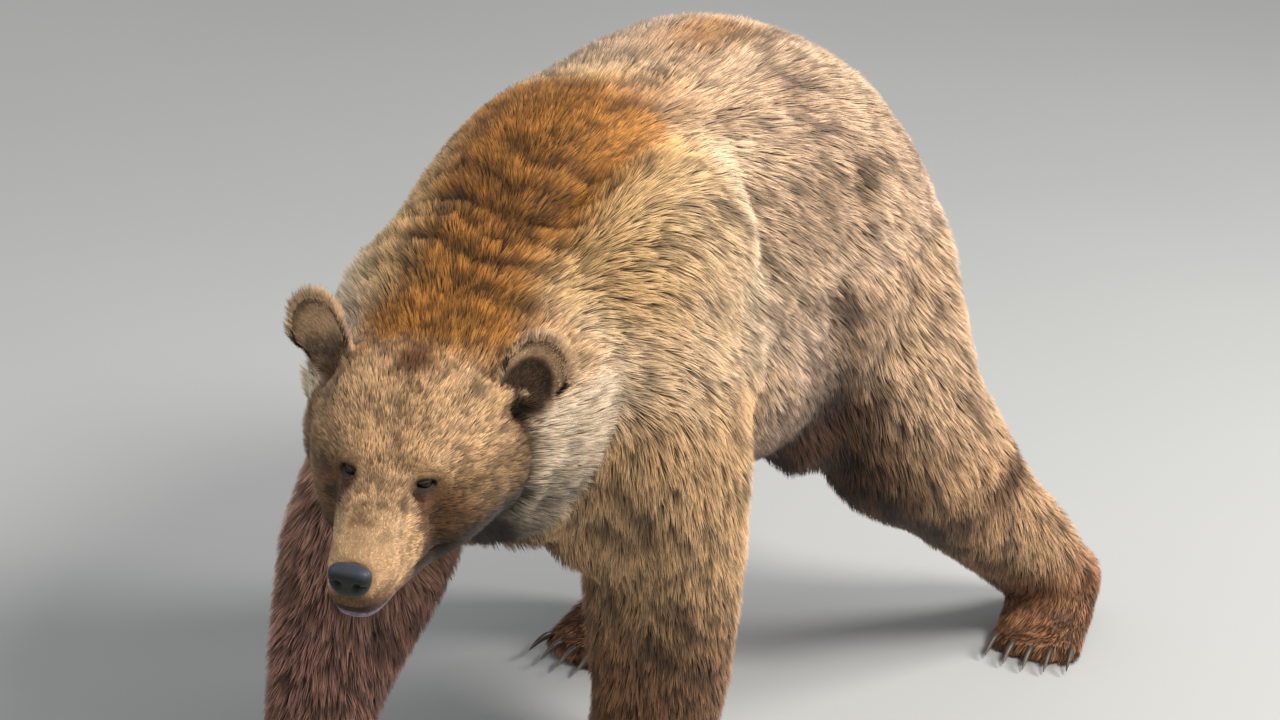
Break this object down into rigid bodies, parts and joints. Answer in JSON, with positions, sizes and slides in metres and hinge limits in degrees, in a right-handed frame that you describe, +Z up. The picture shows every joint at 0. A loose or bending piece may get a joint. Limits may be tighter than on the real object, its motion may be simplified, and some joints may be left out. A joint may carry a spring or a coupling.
{
  "type": "brown bear",
  "caption": "Life-size standing brown bear in mid-walk with its head lowered and turned a little to its left, shaggy coat, bare nose and curved claws.",
  "frame": {"origin": "on the floor under the middle of the bear's bounding box", "axes": "+Z up; the bear walks towards -Y, and its left side is towards +X"},
  "size_m": [0.7118, 1.7882, 1.0152],
  "materials": {
    "fur_golden": "matte",
    "fur_pale": "matte",
    "fur_dark": "matte",
    "nose_skin": "satin",
    "eye": "gloss",
    "claw": "satin"
  },
  "bodies": {
    "root": {"head": "fur_golden", "lower_jaw": "fur_golden", "nose": "nose_skin", "ear_left": "fur_golden", "ear_right": "fur_golden", "eye_left": "eye", "eye_right": "eye", "neck": "fur_golden", "trunk": "fur_pale", "tail": "fur_pale", "upper_foreleg_left": "fur_dark", "forearm_left": "fur_dark", "forepaw_left": "fur_dark", "thigh_left": "fur_dark", "shank_left": "fur_dark", "hindpaw_left": "fur_dark", "upper_foreleg_right": "fur_dark", "forearm_right": "fur_dark", "forepaw_right": "fur_dark", "thigh_right": "fur_dark", "shank_right": "fur_dark", "hindpaw_right": "fur_dark", "claw_fore_left_1": "claw", "claw_fore_left_2": "claw", "claw_fore_left_3": "claw", "claw_fore_left_4": "claw", "claw_fore_left_5": "claw", "claw_fore_right_1": "claw", "claw_fore_right_2": "claw", "claw_fore_right_3": "claw", "claw_fore_right_4": "claw", "claw_fore_right_5": "claw", "claw_hind_left_1": "claw", "claw_hind_left_2": "claw", "claw_hind_left_3": "claw", "claw_hind_left_4": "claw", "claw_hind_left_5": "claw", "claw_hind_right_1": "claw", "claw_hind_right_2": "claw", "claw_hind_right_3": "claw", "claw_hind_right_4": "claw", "claw_hind_right_5": "claw"}
  },
  "joints": []
}
